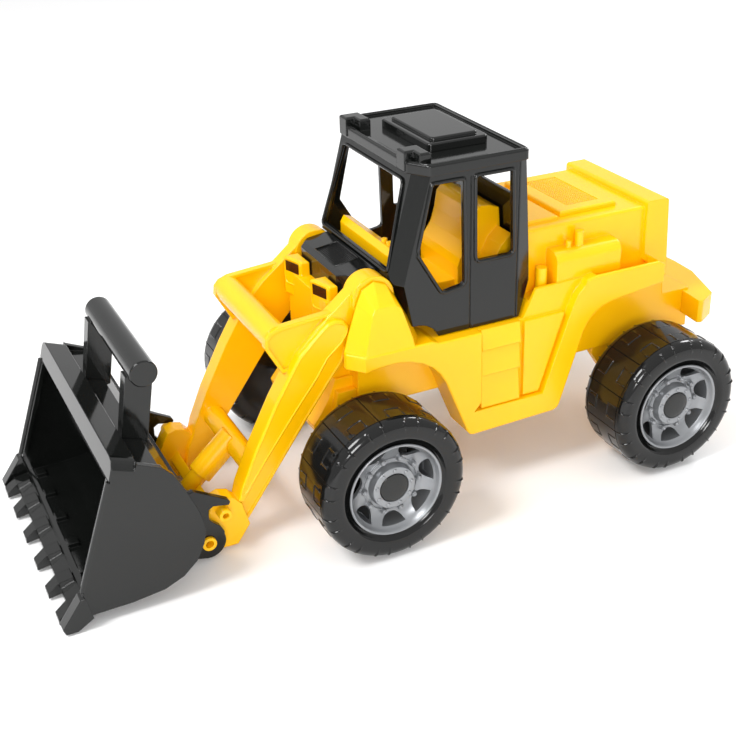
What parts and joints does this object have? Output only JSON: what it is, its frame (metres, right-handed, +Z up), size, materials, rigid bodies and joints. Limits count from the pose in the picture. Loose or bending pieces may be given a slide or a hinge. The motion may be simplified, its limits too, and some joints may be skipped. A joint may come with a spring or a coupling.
{
  "type": "toy front loader",
  "caption": "Large plastic toy wheel loader with lifting arms, a tilting toothed bucket with a grab handle and free-spinning wheels.",
  "frame": {"origin": "on the ground under the middle of the loader's box", "axes": "-Y to the front (bucket), +X to the driver's left, +Z up"},
  "size_m": [0.294, 0.651, 0.3105],
  "materials": {
    "yellow_plastic": "satin moulded polypropylene",
    "black_plastic": "glossy moulded plastic",
    "tyre_plastic": "glossy hard plastic tyre",
    "silver_plastic": "silver coloured plastic",
    "lens_plastic": "dark print",
    "steel": "drawn steel rod"
  },
  "bodies": {
    "chassis": {"body_shell": "yellow_plastic", "chassis_pan": "yellow_plastic", "tail_bumper": "yellow_plastic", "engine_hatch": "yellow_plastic", "headlight_lens_l": "lens_plastic", "headlight_lens_r": "lens_plastic", "bonnet_cover": "black_plastic", "cab_shell": "black_plastic", "roof_hatch": "black_plastic", "seat": "yellow_plastic", "dashboard": "yellow_plastic", "front_axle": "steel", "rear_axle": "steel", "lift_pin_l": "yellow_plastic", "lift_pin_r": "yellow_plastic"},
    "arms": {"lift_arms": "yellow_plastic", "cylinder_barrel": "yellow_plastic", "cylinder_rod": "yellow_plastic", "bucket_pin_l": "yellow_plastic", "bucket_pin_r": "yellow_plastic"},
    "bucket": {"bucket": "black_plastic", "bucket_handle": "black_plastic"},
    "wheel_fl": {"tyre_fl": "tyre_plastic", "rim_fl": "silver_plastic", "hub_cap_fl": "black_plastic"},
    "wheel_fr": {"tyre_fr": "tyre_plastic", "rim_fr": "silver_plastic", "hub_cap_fr": "black_plastic"},
    "wheel_rl": {"tyre_rl": "tyre_plastic", "rim_rl": "silver_plastic", "hub_cap_rl": "black_plastic"},
    "wheel_rr": {"tyre_rr": "tyre_plastic", "rim_rr": "silver_plastic", "hub_cap_rr": "black_plastic"}
  },
  "joints": [
    {"name": "arm_lift", "type": "hinge", "parent": "chassis", "child": "arms", "pos_m": [0, -0.0381, 0.1965], "axis": [-1, 0, 0], "range_deg": [0, 72]},
    {"name": "bucket_tilt", "type": "hinge", "parent": "arms", "child": "bucket", "pos_m": [0, -0.196, 0.0165], "axis": [1, 0, 0], "range_deg": [-12, 70]},
    {"name": "wheel_fl_spin", "type": "hinge", "parent": "chassis", "child": "wheel_fl", "pos_m": [0, -0.0585, 0.064], "axis": [1, 0, 0], "continuous": true},
    {"name": "wheel_fr_spin", "type": "hinge", "parent": "chassis", "child": "wheel_fr", "pos_m": [0, -0.0585, 0.064], "axis": [1, 0, 0], "continuous": true},
    {"name": "wheel_rl_spin", "type": "hinge", "parent": "chassis", "child": "wheel_rl", "pos_m": [0, 0.2215, 0.064], "axis": [1, 0, 0], "continuous": true},
    {"name": "wheel_rr_spin", "type": "hinge", "parent": "chassis", "child": "wheel_rr", "pos_m": [0, 0.2215, 0.064], "axis": [1, 0, 0], "continuous": true}
  ]
}
